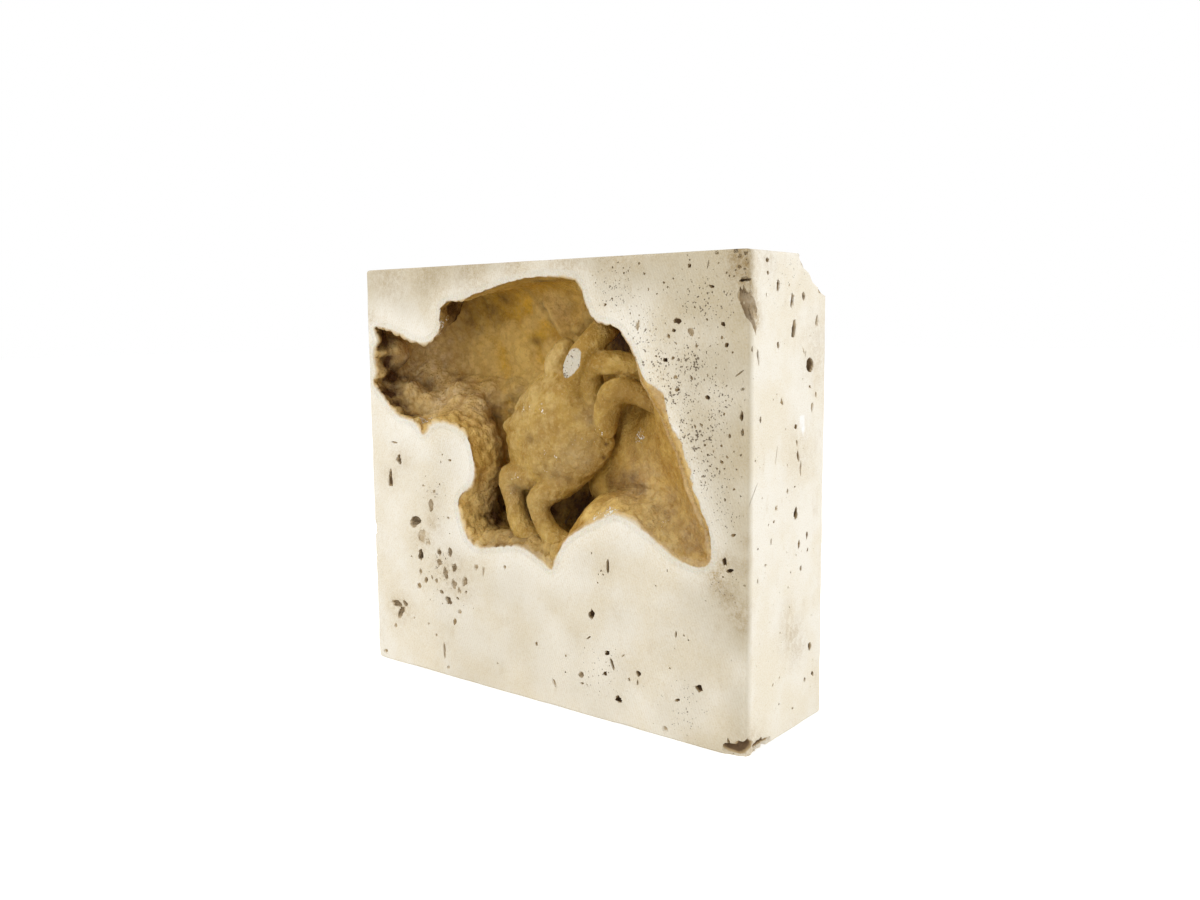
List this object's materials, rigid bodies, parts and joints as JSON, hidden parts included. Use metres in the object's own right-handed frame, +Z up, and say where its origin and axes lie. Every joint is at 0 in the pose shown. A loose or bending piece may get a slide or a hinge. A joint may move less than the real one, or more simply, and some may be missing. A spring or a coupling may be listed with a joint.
{
  "type": "fossil crab",
  "caption": "Small fossil crab coated in honey calcite, standing in a crusted hollow of a sawn travertine block.",
  "frame": {"origin": "centre of the block's sawn bottom face", "axes": "+Z up, +X to the right along the sawn front face, -Y out of the front face, where the hollow opens"},
  "size_m": [0.11, 0.033, 0.1],
  "materials": {
    "travertine": "sawn, matt, pitted",
    "calcite_lining": "fine botryoidal crust, waxy",
    "calcite_crab": "smooth calcite coating, waxy"
  },
  "bodies": {
    "root": {"travertine_block": "travertine", "calcite_crust": "calcite_lining", "crab_carapace": "calcite_crab", "crab_claw": "calcite_crab", "crab_leg_sawn": "calcite_crab", "crab_leg_upper": "calcite_crab", "crab_leg_lower": "calcite_crab", "crab_leg_front": "calcite_crab", "crab_leg_rear": "calcite_crab"}
  },
  "joints": []
}
